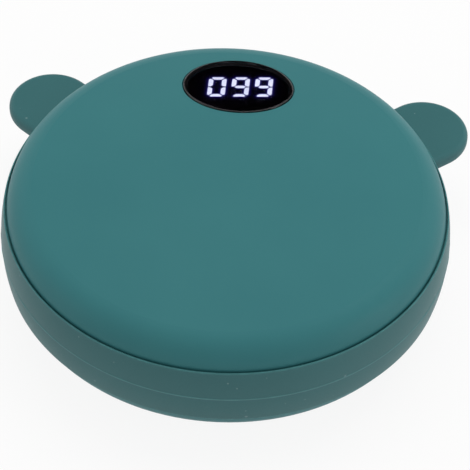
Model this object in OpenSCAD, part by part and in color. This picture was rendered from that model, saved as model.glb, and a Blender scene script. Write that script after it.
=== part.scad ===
// Rechargeable hand warmer: a domed pebble in two shells, held by a silicone band with two round ears.
// A three digit display looks out of the upper dome, and the ports and power button are in the back edge.
// The origin is the centre of the flat that the body rests on. The display and the ports are towards +Y.

/* [Body] */
// Diameter over the silicone band at mid height
body_d = 95; // [94:0.5:98]
// Height of the crown above the mid plane
crown_h = 16.4; // [16:0.1:17.4]
// Radius of the two domed faces
crown_r = 237.5; // [225:2.5:250]
// Radius that rounds each dome into its side
edge_r = 6.65; // [6.2:0.05:7]
// How far the dome's side lies inside the outside of the band
edge_inset = 1.45; // [1.3:0.05:1.6]
// Wall of the two shells
wall = 2; // [1.8:0.1:2.2]
// Depth of the flat under the lower dome
foot_depth = 0.4; // [0.3:0.05:0.6]

/* [Band] */
// Height of the band from lip to lip
band_h = 14.2; // [13.6:0.1:14.8]
// How much the outside of the band bulges between its lips
band_bulge = 0.75; // [0.5:0.05:0.95]
// Thickness of the band at mid height
band_t = 2.9; // [2.7:0.05:3.1]
// How far each lip stands past the seat of the band
lip_h = 0.8; // [0.6:0.05:1]
// Width of the groove between a lip and the dome
groove_w = 0.3; // [0.2:0.05:0.4]
// How far the mould line stands out of the band
mould_line = 0.12; // [0.05:0.01:0.2]

/* [Ears] */
// Angle of each ear from the display's side
ear_angle = 51.5; // [47.5:0.5:55]
// Radius of an ear's round end
ear_r = 9.5; // [8.6:0.1:10.4]
// Distance from the band's outside to the centre of the round end
ear_out = 5.2; // [4.2:0.1:6]
// Thickness of an ear
ear_t = 3.4; // [3:0.1:4.2]
// Radius that rounds the rim of an ear
ear_edge = 1.4; // [0.9:0.1:1.4]

/* [Display] */
// Distance from the dome's side to the centre of the window
window_inset = 17.8; // [17.2:0.05:18.8]
// Width of the oval window
window_w = 24; // [23.2:0.1:24.8]
// Length of the oval window, from front to back
window_l = 18.7; // [18.1:0.1:19.4]
// Thickness of the window
window_t = 1.35; // [1.2:0.05:1.4]
// Gap round the window
window_gap = 0.15; // [0.1:0.05:0.25]
// Width of the ledge that carries the window
ledge_w = 1.1; // [0.9:0.05:1.2]
// Thickness of the window's adhesive tape
tape_t = 0.1; // [0.05:0.05:0.15]
// Digits that the display shows
shown = [0, 9, 9];
// Width of a digit
digit_w = 3.85; // [3.6:0.05:3.95]
// Height of a digit
digit_h = 7; // [6.6:0.1:7.3]
// Distance from one digit to the next
digit_pitch = 5.05; // [4.95:0.05:5.2]
// Stroke of the upright segments
upright_w = 1; // [0.8:0.05:1.1]
// Stroke of the level segments
level_w = 0.9; // [0.75:0.05:1]
// Lean of the digits
digit_lean = 7; // [0:1:8]
// How far the row of digits sits to the right of the window's middle
digit_side = 0.4; // [0:0.05:0.6]
// How far the row of digits sits behind the window's middle
digit_back = 0.5; // [0:0.05:0.7]
// Turn of the row of digits in the window
digit_turn = 6.8; // [0:0.2:7]

/* [Ports and button] */
// Distance of the larger port from the middle
usb_a_x = 9.5; // [9.2:0.1:10]
// Width of the larger port's metal shell
usb_a_w = 13.2; // [13:0.1:13.4]
// Height of the larger port's metal shell
usb_a_h = 5.7; // [5.5:0.1:5.9]
// Length of the larger port's metal shell
usb_a_l = 14; // [12.5:0.5:14]
// Distance of the smaller port from the middle
usb_c_x = 8; // [7.6:0.1:8.2]
// Width of the smaller port's metal shell
usb_c_w = 8.94; // [8.8:0.02:9]
// Height of the smaller port's metal shell
usb_c_h = 3.16; // [3.1:0.02:3.2]
// Length of the smaller port's metal shell
usb_c_l = 9; // [8.5:0.1:10]
// How far the corners of each port's face lie inside the band's outside
port_recess = 0.6; // [0.5:0.05:0.8]
// Distance of the power button from the middle
button_x = 21.6; // [21:0.1:22.2]
// Width of the power button
button_w = 7.6; // [7:0.1:8]
// Height of the power button
button_h = 3.6; // [3.2:0.1:3.8]
// How far the button stands out of the band
button_proud = 0.3; // [0.2:0.05:0.5]
// Travel of the button
button_travel = 0.35; // [0.25:0.05:0.35]

/* [Inside] */
// Room beside each pouch cell, up to the wall of the shells
cell_side = 18.6; // [18:0.1:20]
// Room in front of each pouch cell, up to the wall of the shells
cell_front = 11.6; // [11:0.1:13]
// Room between each pouch cell and the main board
cell_gap = 4.5; // [4.2:0.1:6]
// Room from the crown down to the upper pouch cell
cell_head = 8.25; // [8.1:0.05:9]
// Room round the heat spreader plates, up to the wall of the shells
plate_side = 9.6; // [9:0.1:12]
// Thickness of the heat spreader plates
plate_t = 1; // [0.8:0.1:1.2]
// Distance from the ends of a pouch cell to its foam pad
foam_end = 6; // [4:0.5:9]
// Thickness of the circuit board
board_t = 1.2; // [1:0.1:1.4]
// Room beside the circuit board, up to the wall of the shells
board_side = 14.6; // [13.6:0.1:15.2]
// Length of the circuit board, from its front edge to the back of its curve
board_l = 24.1; // [23.5:0.1:24.4]
// Thickness of the inner frame's floor
floor_t = 1.2; // [1:0.1:1.5]
// Height of the fence round the cells
fence_h = 7; // [5:0.5:9]

/* [Hidden] */
$fn = 200;

// Overrun of a cut, and the clearances that the fits share
over = 1;
glue_gap = 0.05;
seat_gap = 0.1;
fit_gap = 0.25;

// Shells, worked out from the body
body_r = body_d / 2;
mid_z = crown_h - foot_depth;
dome_edge = body_r - edge_inset;
seat_r = body_r - band_t;
cavity_r = seat_r - wall;
seat_h = band_h / 2 - lip_h;
crown_c = crown_h - crown_r;
fillet_x = dome_edge - edge_r;
fillet_lift = 0.002;
fillet_z = crown_c + sqrt((crown_r - edge_r) ^ 2 - fillet_x ^ 2) + fillet_lift;
lap_share = 0.45;
lap_t = wall * lap_share;
lap_h = 3.4;
snap_angles = [25, 155, 200, 245, 295, 340];
snap_width = 9;
snap_play = 1;
snap_z = lap_h / 2;
snap_h = 1;
snap_reach = 0.5;

// Band
bulge_r = (band_h ^ 2 / 4 + band_bulge ^ 2) / (2 * band_bulge);
mould_line_h = 0.2;
neck_share = 0.8;
neck_start = body_r - band_t * neck_share;

// Display, measured along the window's own normal from the dome's surface
window_reach = dome_edge - window_inset;
window_tilt = asin(window_reach / crown_r);
window_rise = 0.05;
window_base = window_rise - window_t;
ledge_z = window_base - tape_t;
digit_gap = 0.16;
reflector_rim = 0.6;
reflector_w = (len(shown) - 1) * digit_pitch + digit_w + 2 * reflector_rim;
reflector_l = digit_h + 2 * reflector_rim;
reflector_h = 4.4;
reflector_top = window_base - seat_gap;
reflector_base = reflector_top - reflector_h;
segment_t = 1.2;
led_w = 0.9;
led_t = 0.4;
display_board_w = 31;
display_board_l = 12;
display_board_t = 0.8;
display_board_base = reflector_base - display_board_t;
display_post_side = 2.2;
display_post_x = display_board_w / 2 - display_post_side;
post_r = 2.1;
segment_names = ["a", "b", "c", "d", "e", "f", "g"];
lit_of = ["abcdef", "bc", "abged", "abgcd", "fgbc", "afgcd", "afgecd", "abc", "abcdefg", "abcfgd"];
ribbon_w = 8;
ribbon_t = 0.2;
ribbon_tail = 3;
ribbon_in = 1;
ribbon_back = 2;
ribbon_bend_share = 0.8;

// Screws
screw_r = 0.8;
screw_head_r = 1.8;
screw_head_t = 1.1;
display_screw_l = 3;
frame_screw_l = 3.2;
board_screw_l = 3.2;

// Board, ports and switch, measured from the mid plane
board_top = -usb_c_h / 2;
board_base = board_top - board_t;
board_gap = 1;
board_r = cavity_r - board_gap;
board_w = 2 * (cavity_r - board_side);
board_front = board_r - board_l;
chip_side = 6;
chip_across = 12;
inductor_side = 7;
capacitor_r = 2.4;
port_cut_in = 4;
usb_a_face = sqrt(body_r ^ 2 - (usb_a_x + usb_a_w / 2) ^ 2) - port_recess;
usb_c_face = sqrt(body_r ^ 2 - (usb_c_x + usb_c_w / 2) ^ 2) - port_recess;
usb_wall = 0.35;
usb_a_tongue_h = 1.84;
usb_a_tongue_l = 9;
usb_a_tab_w = 1.2;
usb_a_tab_l = 2;
usb_a_tab_t = 0.3;
usb_a_tab_shares = [0.1, 0.35];
usb_a_tab_x = usb_a_w / 2 + usb_a_tab_w / 2 - usb_wall / 2;
usb_a_slot_w = 1.65;
usb_a_slot_l = 4.9;
usb_a_slot_h = 1.4;
usb_a_slot_in = 3.5;
usb_c_tongue_w = 6.69;
usb_c_tongue_h = 0.7;
usb_c_tongue_l = 6.6;
usb_back = 1;
plug_room = 1.6;
plug_room_h = 1.3;
cut_corner = 1.2;
button_angle = asin(button_x / body_r);
flange_w = 11;
flange_h = 5;
flange_t = 0.8;
flange_out = sqrt((cavity_r - fit_gap) ^ 2 - (flange_w / 2) ^ 2);
flange_in = flange_out - flange_t;
switch_w = 6;
switch_l = 3.6;
switch_h = 3.1;
switch_clear = 0.4;
switch_face = flange_in - button_travel - switch_clear;
stem_r = 1;
stem_inside = 1.2;
stem_gap = 0.12;

// Cells, frame and heaters, measured from the mid plane
cell_tape_t = 0.3;
stack_h = 2 * (crown_h - cell_head);
cell_t = (stack_h - cell_tape_t) / 2;
cell_w = 2 * (cavity_r - cell_side);
cell_back = board_front - cell_gap;
cell_l = cell_back + cavity_r - cell_front;
cell_y = cell_l / 2 - cell_back;
floor_top = -stack_h / 2;
floor_base = floor_top - floor_t;
frame_gap = 1.2;
frame_r = cavity_r - frame_gap;
protection_t = 1.2;
protection_w = 28;
protection_h = 8;
protection_x = -protection_w / 2 - (cell_w - protection_w) / 4;
fence_t = 1.2;
frame_screw_inset = 4.9;
frame_screw_reach = frame_r - frame_screw_inset;
frame_screw_angles = [20, 160, 200, 340];
frame_boss_r = 2.4;
post_side = 2.5;
post_front = 4;
post_x = board_w / 2 - post_side;
post_y = board_front + post_front;
back_post_inset = 5.4;
back_post_x = (usb_c_x - usb_c_w / 2 - usb_a_x + usb_a_w / 2) / 2;
back_post_y = frame_r - back_post_inset;
bay_side = 6;
bay_w = board_w - 2 * bay_side;
bay_front = 1;
bay_rim = 8.4;
bay_end = frame_r - bay_rim;
bay_wall = 1.5;
foam_r = cell_l / 2 - foam_end;
paste_t = 0.25;
plate_r = cavity_r - plate_side;
plate_crown = crown_r - wall - paste_t;
film_t = 0.25;
film_crown = plate_crown - plate_t - seat_gap;
film_side = 2;
film_r = plate_r - film_side;
notch_side = 2;
notch_front = 2.5;
notch_film = 1;
notch_w = display_board_w + 2 * notch_side;
notch_y = window_reach - display_board_l / 2 - notch_front;
sensor_w = 3;
sensor_l = 2;
sensor_t = 1.2;
sensor_inset = 11;
sensor_reach = film_r - sensor_inset;
lead_d = 1;
lead_sides = 8;
lead_rings = 14;
lead_pad_y = 3;
lead_side = 1;
lead_pitch = 1.5;
lead_out = board_w / 2 - bay_side - lead_side;
battery_lead_side = 1.5;
battery_lead_pitch = 2;

// Colours
dome_colour = [0.25, 0.48, 0.49];
band_colour = [0.24, 0.38, 0.39];
board_colour = [0.1, 0.3, 0.16];
foil_colour = [0.72, 0.73, 0.74];
film_colour = [0.78, 0.48, 0.16];
steel_colour = [0.66, 0.67, 0.69];
black_colour = [0.05, 0.05, 0.06];

module at_mid() {
    translate([0, 0, mid_z]) children();
}

module mirrored_down() {
    mirror([0, 0, 1]) children();
}

// Places its children on the dome under the window, with +Z along the window's normal.
module on_window() {
    at_mid() translate([0, 0, crown_c]) rotate([-window_tilt, 0, 0]) translate([0, 0, crown_r]) children();
}

// Places its children at the middle of the row of digits, with +X along the row.
module on_display() {
    on_window() translate([digit_side, digit_back, 0]) rotate([0, 0, digit_turn]) children();
}

// Places its children at the button, with +Y pointing straight out of the body.
module at_button() {
    at_mid() rotate([0, 0, -button_angle]) children();
}

// A point of the window's frame, as its distance from the axis and its height above the mid plane.
function window_point(y, z) = [
    y * cos(window_tilt) + (crown_r + z) * sin(window_tilt),
    crown_c + (crown_r + z) * cos(window_tilt) - y * sin(window_tilt)];

// Height of a sphere centred like the dome, at a distance from the axis.
function sphere_z(radius, reach) = crown_c + sqrt(radius ^ 2 - reach ^ 2);

// Height of the inner face of the upper heater film over a point.
function film_z(x, y) = sphere_z(film_crown - film_t, norm([x, y]));

module stadium(w, h) {
    square([w - h, h], center = true);
    for (side = [-1, 1]) translate([side * (w - h) / 2, 0]) circle(d = h);
}

module rounded_rect(w, h, r) {
    square([w - 2 * r, h], center = true);
    square([w, h - 2 * r], center = true);
    for (sx = [-1, 1], sy = [-1, 1]) translate([sx * (w / 2 - r), sy * (h / 2 - r)]) circle(r = r);
}

// Solid that stands out towards +Y from a start to an end, with its outline across X and Z.
module along_y(start, end) {
    translate([0, end, 0]) rotate([90, 0, 0]) linear_extrude(end - start) children();
}

module oval(w, l) {
    scale([w / l, 1]) circle(d = l);
}

module screw(shank_l) {
    translate([0, 0, -shank_l]) cylinder(r = screw_r, h = shank_l);
    cylinder(r = screw_head_r, h = screw_head_t);
}

// Half outline of the upper dome above the mid plane, drawn smaller by an inset all round.
// The fillet stands a hair above the crown where they meet, so that the two arcs cross in one clean point.
module dome_profile(inset) {
    meeting_x = fillet_x + (edge_r - inset) * fillet_x / (crown_r - edge_r);
    intersection() {
        translate([0, crown_c]) circle(r = crown_r - inset);
        union() {
            square([meeting_x, crown_h]);
            square([dome_edge - inset, fillet_z]);
            intersection() {
                translate([fillet_x, fillet_z]) circle(r = edge_r - inset);
                translate([0, fillet_z]) square([dome_edge, edge_r]);
            }
        }
    }
}

// Half outline of one shell: the dome, hollowed, with the seat of the band cut round its side.
module shell_profile() {
    difference() {
        dome_profile(0);
        intersection() {
            dome_profile(wall);
            square([cavity_r, crown_h]);
        }
        translate([seat_r, 0]) square([band_t, seat_h]);
    }
}

// Openings through both shells for the two ports and the button.
module edge_cuts(grow) {
    at_mid() {
        translate([-usb_a_x, 0, 0]) along_y(board_r - port_cut_in, body_r + over)
            rounded_rect(usb_a_w + 2 * grow, usb_a_h + 2 * grow, usb_wall + grow);
        translate([usb_c_x, 0, 0]) along_y(board_r - port_cut_in, body_r + over)
            stadium(usb_c_w + 2 * grow, usb_c_h + 2 * grow);
    }
    at_button() along_y(flange_in, body_r + over) stadium(button_w + 2 * grow, button_h + 2 * grow);
}

module snap_arcs(inner, outer, z_low, z_high, width) {
    for (a = snap_angles) rotate([0, 0, a - width / 2]) rotate_extrude(angle = width)
        translate([inner, z_low]) square([outer - inner, z_high - z_low]);
}

module upper_shell() {
    color(dome_colour) difference() {
        union() {
            at_mid() rotate_extrude() difference() {
                shell_profile();
                square([cavity_r + lap_t + seat_gap, lap_h + fit_gap]);
            }
            on_window() for (side = [-1, 1]) translate([side * display_post_x, 0, reflector_base])
                cylinder(r = post_r, h = -reflector_base - wall / 2);
        }
        at_mid() snap_arcs(cavity_r, seat_r + over, snap_z - seat_gap, snap_z + snap_h + seat_gap,
            snap_width + snap_play);
        on_window() {
            translate([0, 0, ledge_z]) linear_extrude(over - ledge_z)
                oval(window_w + 2 * window_gap, window_l + 2 * window_gap);
            translate([0, 0, -wall - over]) linear_extrude(wall + over)
                oval(window_w - 2 * ledge_w, window_l - 2 * ledge_w);
            for (side = [-1, 1]) translate([side * display_post_x, 0, reflector_base - over])
                cylinder(r = screw_r, h = display_screw_l + over);
        }
        edge_cuts(fit_gap);
    }
}

module lower_shell() {
    color(dome_colour) difference() {
        union() {
            at_mid() mirrored_down() rotate_extrude() shell_profile();
            at_mid() rotate_extrude() translate([cavity_r, -wall]) square([lap_t, lap_h + wall]);
            at_mid() snap_arcs(cavity_r + lap_t / 2, cavity_r + lap_t + snap_reach, snap_z, snap_z + snap_h,
                snap_width);
            at_mid() intersection() {
                for (a = frame_screw_angles) rotate([0, 0, a]) translate([frame_screw_reach, 0, -crown_h])
                    cylinder(r = frame_boss_r, h = crown_h + floor_base);
                translate([0, 0, -crown_c]) sphere(r = crown_r - wall / 2);
            }
        }
        at_mid() for (a = frame_screw_angles) rotate([0, 0, a])
            translate([frame_screw_reach, 0, floor_base - frame_screw_l]) cylinder(r = screw_r, h = crown_h);
        edge_cuts(fit_gap);
        translate([0, 0, -body_r]) cylinder(r = body_r, h = body_r);
    }
}

// Half outline of the band: bulged outside, stepped inside so that its lips cover the shells' edges.
module band_profile() {
    difference() {
        intersection() {
            translate([body_r - mould_line - bulge_r, 0]) circle(r = bulge_r);
            translate([seat_r + glue_gap, -band_h / 2]) square([band_t, band_h]);
        }
        for (side = [-1, 1]) translate([seat_r, side * (seat_h - glue_gap + band_h / 2)])
            square([2 * (dome_edge + groove_w - seat_r), band_h], center = true);
    }
    polygon([
        [body_r - mould_line - mould_line_h, -mould_line_h],
        [body_r, -mould_line_h / 2],
        [body_r, mould_line_h / 2],
        [body_r - mould_line - mould_line_h, mould_line_h]]);
}

module ear() {
    translate([0, body_r + ear_out, 0]) rotate_extrude(angle = 180) intersection() {
        rounded_rect(2 * ear_r, ear_t, ear_edge);
        translate([0, -ear_t]) square([2 * ear_r, 2 * ear_t]);
    }
    along_y(neck_start, body_r + ear_out) rounded_rect(2 * ear_r, ear_t, ear_edge);
}

module silicone_band() {
    color(band_colour) difference() {
        at_mid() {
            rotate_extrude() band_profile();
            for (side = [-1, 1]) rotate([0, 0, side * ear_angle]) ear();
        }
        at_mid() {
            translate([-usb_a_x, 0, 0]) along_y(board_r, body_r + over)
                rounded_rect(usb_a_w + 2 * plug_room, usb_a_h + 2 * plug_room_h, cut_corner);
            translate([usb_c_x, 0, 0]) along_y(board_r, body_r + over)
                rounded_rect(usb_c_w + 2 * plug_room, usb_c_h + 2 * plug_room, cut_corner);
        }
        at_button() along_y(board_r, body_r + over)
            stadium(button_w + 2 * fit_gap, button_h + 2 * fit_gap);
    }
}

module display_window() {
    color(black_colour) on_window() translate([0, 0, window_base]) linear_extrude(window_t)
        oval(window_w, window_l);
}

module window_tape() {
    color(black_colour) on_window() translate([0, 0, ledge_z]) linear_extrude(tape_t) difference() {
        oval(window_w - 2 * window_gap, window_l - 2 * window_gap);
        oval(window_w - 2 * ledge_w + 2 * seat_gap, window_l - 2 * ledge_w + 2 * seat_gap);
    }
}

// One segment of a digit that is centred on zero: a is the top, b to f go round clockwise, g is the middle.
function upright(sx, sy) = let (w = digit_w / 2, h = digit_h / 2, g = digit_gap) [
    [sx * w, sy * (h - g)],
    [sx * (w - upright_w), sy * (h - level_w - g)],
    [sx * (w - upright_w), sy * (level_w / 2 + g)],
    [sx * (w - upright_w / 2), sy * g],
    [sx * w, sy * g]];
function level(sy) = let (w = digit_w / 2, h = digit_h / 2, g = digit_gap) [
    [-w + g, sy * h],
    [w - g, sy * h],
    [w - upright_w - g, sy * (h - level_w)],
    [-w + upright_w + g, sy * (h - level_w)]];
function middle() = let (w = digit_w / 2, g = digit_gap) [
    [-w + upright_w / 2 + g, 0],
    [-w + upright_w + g, level_w / 2],
    [w - upright_w - g, level_w / 2],
    [w - upright_w / 2 - g, 0],
    [w - upright_w - g, -level_w / 2],
    [-w + upright_w + g, -level_w / 2]];
function segment_outline(name) =
    name == "a" ? level(1) :
    name == "b" ? upright(1, 1) :
    name == "c" ? upright(1, -1) :
    name == "d" ? level(-1) :
    name == "e" ? upright(-1, -1) :
    name == "f" ? upright(-1, 1) : middle();
function leaned(p) = [p.x + p.y * tan(digit_lean), p.y];
function is_lit(digit, name) = len(search(name, lit_of[digit])) > 0;
function middle_of(values) = (max(values) + min(values)) / 2;
function centre_of(points) = [for (i = [0, 1]) middle_of([for (p = points) p[i]])];

// The outlines of all segments, or of those that are lit or unlit.
module segments(lit, unlit) {
    for (i = [0:len(shown) - 1], name = segment_names)
        if (is_lit(shown[i], name) ? lit : unlit)
            translate([(i - (len(shown) - 1) / 2) * digit_pitch, 0])
                polygon([for (p = segment_outline(name)) leaned(p)]);
}

module display_reflector() {
    color([0.85, 0.85, 0.83]) on_display() difference() {
        translate([-reflector_w / 2, -reflector_l / 2, reflector_base])
            cube([reflector_w, reflector_l, reflector_h]);
        translate([0, 0, reflector_base - over]) linear_extrude(reflector_h + 2 * over) segments(true, true);
    }
}

module lit_segments() {
    color([0.88, 0.87, 1]) on_display() translate([0, 0, reflector_top - segment_t])
        linear_extrude(segment_t) segments(true, false);
}

module unlit_segments() {
    color([0.12, 0.12, 0.14]) on_display() translate([0, 0, reflector_top - segment_t])
        linear_extrude(segment_t) segments(false, true);
}

module segment_leds() {
    color([0.95, 0.9, 0.5]) on_display() for (i = [0:len(shown) - 1], name = segment_names) {
        middle = centre_of([for (p = segment_outline(name)) leaned(p)]);
        upright_one = len(search(name, "bcef")) > 0;
        size = upright_one ? [led_w / 2, led_w] : [led_w, led_w / 2];
        translate([(i - (len(shown) - 1) / 2) * digit_pitch + middle.x - size.x / 2,
            middle.y - size.y / 2, reflector_base]) cube([size.x, size.y, led_t]);
    }
}

module display_board() {
    color(board_colour) on_window() difference() {
        translate([-display_board_w / 2, -display_board_l / 2, display_board_base])
            cube([display_board_w, display_board_l, display_board_t]);
        for (side = [-1, 1]) translate([side * display_post_x, 0, display_board_base - over])
            cylinder(r = screw_r + seat_gap, h = display_board_t + 2 * over);
    }
}

module display_screws() {
    color(steel_colour) on_window() for (side = [-1, 1])
        translate([side * display_post_x, 0, display_board_base]) mirrored_down()
            screw(display_board_t + display_screw_l - seat_gap);
}

function bezier(p, t) = (1 - t) ^ 3 * p[0] + 3 * (1 - t) ^ 2 * t * p[1]
    + 3 * (1 - t) * t ^ 2 * p[2] + t ^ 3 * p[3];
function bezier_way(p, t) = let (
    v = (1 - t) ^ 2 * (p[1] - p[0]) + 2 * (1 - t) * t * (p[2] - p[1]) + t ^ 2 * (p[3] - p[2])) v / norm(v);

// A flat cable from under the display board to the top of the main board, bent in one easy turn.
module display_ribbon() {
    start = window_point(-ribbon_in, display_board_base - ribbon_t / 2);
    lean = [cos(window_tilt), -sin(window_tilt)];
    end = [start.x - ribbon_back, board_top + ribbon_t / 2];
    bend = (start.y - end.y) * ribbon_bend_share;
    route = [start, start - bend * lean, end - [bend, 0], end];
    line = concat([start + ribbon_tail * lean], [for (i = [0:20]) bezier(route, i / 20)],
        [end + [ribbon_tail, 0]]);
    way = concat([-lean], [for (i = [0:20]) bezier_way(route, i / 20)], [[1, 0]]);
    one_side = [for (i = [0:len(line) - 1]) line[i] + ribbon_t / 2 * [-way[i].y, way[i].x]];
    other_side = [for (i = [len(line) - 1:-1:0]) line[i] - ribbon_t / 2 * [-way[i].y, way[i].x]];
    color(film_colour) at_mid() translate([-ribbon_w / 2, 0, 0]) rotate([90, 0, 90])
        linear_extrude(ribbon_w) polygon(concat(one_side, other_side));
}

// Places its children at the three posts that carry the main board.
module at_board_posts() {
    for (side = [-1, 1]) translate([side * post_x, post_y, 0]) children();
    translate([back_post_x, back_post_y, 0]) children();
}

module inner_frame() {
    fence_in = cell_w + 2 * fit_gap;
    fence_front = -cell_y - cell_l / 2 - fit_gap;
    fence_back = cell_back + protection_t + fit_gap;
    color([0.9, 0.9, 0.88]) at_mid() intersection() {
        difference() {
            union() {
                translate([0, 0, floor_base]) cylinder(r = frame_r, h = floor_t);
                translate([-fence_in / 2 - fence_t, fence_front - fence_t, floor_base])
                    cube([fence_in + 2 * fence_t, fence_back - fence_front + 2 * fence_t, floor_t + fence_h]);
                at_board_posts() translate([0, 0, floor_base])
                    cylinder(r = post_r, h = board_base - floor_base);
            }
            translate([-fence_in / 2, fence_front, floor_top])
                cube([fence_in, fence_back - fence_front, fence_h + over]);
            translate([0, -cell_y, floor_base - over])
                cylinder(r = foam_r + 2 * fit_gap, h = floor_t + 2 * over);
            intersection() {
                translate([-bay_w / 2, fence_back + fence_t + bay_front, floor_base - over])
                    cube([bay_w, bay_end - fence_back - fence_t - bay_front, floor_t + 2 * over]);
                translate([0, 0, floor_base - over])
                    cylinder(r = frame_r - bay_wall, h = floor_t + 2 * over);
            }
            for (a = frame_screw_angles) rotate([0, 0, a])
                translate([frame_screw_reach, 0, floor_base - over])
                    cylinder(r = screw_r + seat_gap, h = floor_t + 2 * over);
            at_board_posts() translate([0, 0, board_base - board_screw_l])
                cylinder(r = screw_r, h = board_screw_l + over);
        }
        translate([0, 0, floor_base]) cylinder(r = frame_r, h = 2 * crown_h);
    }
}

module frame_screws() {
    color(steel_colour) at_mid() for (a = frame_screw_angles) rotate([0, 0, a])
        translate([frame_screw_reach, 0, floor_top]) screw(floor_t + frame_screw_l - seat_gap);
}

module main_board() {
    color(board_colour) at_mid() difference() {
        translate([0, 0, board_base]) linear_extrude(board_t) difference() {
            intersection() {
                circle(r = board_r);
                translate([-board_w / 2, board_front]) square([board_w, board_l]);
            }
            translate([-usb_a_x - usb_a_w / 2 - seat_gap, usb_a_face - usb_a_l - seat_gap])
                square([usb_a_w + 2 * seat_gap, usb_a_l]);
            rotate([0, 0, -button_angle])
                translate([-flange_w / 2 - fit_gap, flange_in - button_travel - fit_gap])
                    square([flange_w + 2 * fit_gap, flange_w]);
        }
        at_board_posts() translate([0, 0, board_base - over])
            cylinder(r = screw_r + seat_gap, h = board_t + 2 * over);
    }
}

module board_screws() {
    color(steel_colour) at_mid() at_board_posts() translate([0, 0, board_top])
        screw(board_t + board_screw_l - seat_gap);
}

// Metal shell of the larger port, sunk through the board and resting on it with four side tabs.
module usb_a_shell() {
    color(steel_colour) at_mid() translate([-usb_a_x, 0, 0]) {
        difference() {
            along_y(usb_a_face - usb_a_l, usb_a_face) rounded_rect(usb_a_w, usb_a_h, usb_wall * 1.5);
            along_y(usb_a_face - usb_a_l + usb_back, usb_a_face + over)
                rounded_rect(usb_a_w - 2 * usb_wall, usb_a_h - 2 * usb_wall, usb_wall * 0.5);
            for (side = [-1, 1], level = [-1, 1])
                translate([side * usb_a_w / 4, usb_a_face - usb_a_slot_in, level * usb_a_h / 2])
                    translate([-usb_a_slot_w / 2, -usb_a_slot_l, -usb_a_slot_h / 2])
                        cube([usb_a_slot_w, usb_a_slot_l, usb_a_slot_h]);
        }
        for (side = [-1, 1], share = usb_a_tab_shares)
            translate([side * usb_a_tab_x, usb_a_face - usb_a_l * (1 - share), board_top])
                translate([-usb_a_tab_w / 2 - usb_wall / 2, 0, 0])
                    cube([usb_a_tab_w + usb_wall, usb_a_tab_l, usb_a_tab_t]);
    }
}

module usb_a_tongue() {
    w = usb_a_w - 2 * usb_wall - 4 * seat_gap;
    color([0.93, 0.93, 0.95]) at_mid()
        translate([-usb_a_x - w / 2, usb_a_face - usb_a_l + usb_back, usb_a_h / 2 - usb_wall - seat_gap])
            mirrored_down() cube([w, usb_a_tongue_l, usb_a_tongue_h]);
}

module usb_c_shell() {
    color(steel_colour) at_mid() translate([usb_c_x, 0, 0]) difference() {
        along_y(usb_c_face - usb_c_l, usb_c_face) stadium(usb_c_w, usb_c_h);
        along_y(usb_c_face - usb_c_l + usb_back, usb_c_face + over)
            stadium(usb_c_w - 2 * usb_wall, usb_c_h - 2 * usb_wall);
    }
}

module usb_c_tongue() {
    color(black_colour) at_mid()
        translate([usb_c_x - usb_c_tongue_w / 2, usb_c_face - usb_c_l + usb_back, -usb_c_tongue_h / 2])
            cube([usb_c_tongue_w, usb_c_tongue_l, usb_c_tongue_h]);
}

module power_button() {
    color(dome_colour) at_button() {
        along_y(flange_in, body_r + button_proud) stadium(button_w, button_h);
        along_y(flange_in, flange_out) rounded_rect(flange_w, flange_h, button_h / 4);
    }
}

module switch_body() {
    color(black_colour) at_button() difference() {
        translate([-switch_w / 2, switch_face - switch_l, board_top]) cube([switch_w, switch_l, switch_h]);
        along_y(switch_face - stem_inside - button_travel - fit_gap, switch_face + over)
            circle(r = stem_r + stem_gap);
    }
}

module switch_stem() {
    color([0.9, 0.9, 0.88]) at_button() along_y(switch_face - stem_inside, flange_in - glue_gap)
        circle(r = stem_r);
}

module control_chip() {
    color(black_colour) at_mid() translate([-chip_across, board_front + chip_side, board_top])
        cube([chip_side, chip_side, chip_side / 6]);
}

module boost_inductor() {
    side = inductor_side;
    color([0.25, 0.25, 0.27]) at_mid() translate([side, board_front + side / 2, board_top])
        cube([side, side, side / 2]);
}

module storage_capacitors() {
    r = capacitor_r;
    color(foil_colour) at_mid() for (side = [-1, 1])
        translate([side * (post_x - 2 * r), post_y + 3 * r, board_top]) cylinder(r = r, h = 2 * r);
}

module pouch_cell() {
    along_y(-cell_y - cell_l / 2, cell_back) rounded_rect(cell_w, cell_t, cell_t / 4);
}

module lower_cell() {
    color(foil_colour) at_mid() translate([0, 0, -(cell_t + cell_tape_t) / 2]) pouch_cell();
}

module upper_cell() {
    color(foil_colour) at_mid() translate([0, 0, (cell_t + cell_tape_t) / 2]) pouch_cell();
}

module cell_tape() {
    color([0.9, 0.85, 0.3]) at_mid() translate([-cell_w / 4, -cell_y - cell_l / 4, -cell_tape_t / 2])
        cube([cell_w / 2, cell_l / 2, cell_tape_t]);
}

module protection_board() {
    color(board_colour) at_mid() translate([protection_x, cell_back, -protection_h / 2])
        cube([protection_w, protection_t, protection_h]);
}

// A round wire in a plane of constant X, along a curve given by four points of Y and Z.
module lead(x, route) {
    points = [for (i = [0:lead_rings]) let (
        c = bezier(route, i / lead_rings),
        w = bezier_way(route, i / lead_rings))
        for (k = [0:lead_sides - 1]) let (
            a = 360 * k / lead_sides,
            off = lead_d / 2 * sin(a))
            [x + lead_d / 2 * cos(a), c.x - off * w.y, c.y + off * w.x]];
    sides = [for (i = [0:lead_rings - 1], k = [0:lead_sides - 1]) let (
        a = i * lead_sides + k,
        b = i * lead_sides + (k + 1) % lead_sides)
        each [[a, b, b + lead_sides], [a, b + lead_sides, a + lead_sides]]];
    start = [for (k = [lead_sides - 1:-1:0]) k];
    end = [for (k = [0:lead_sides - 1]) lead_rings * lead_sides + k];
    polyhedron(points, concat(sides, [start, end]));
}

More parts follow.
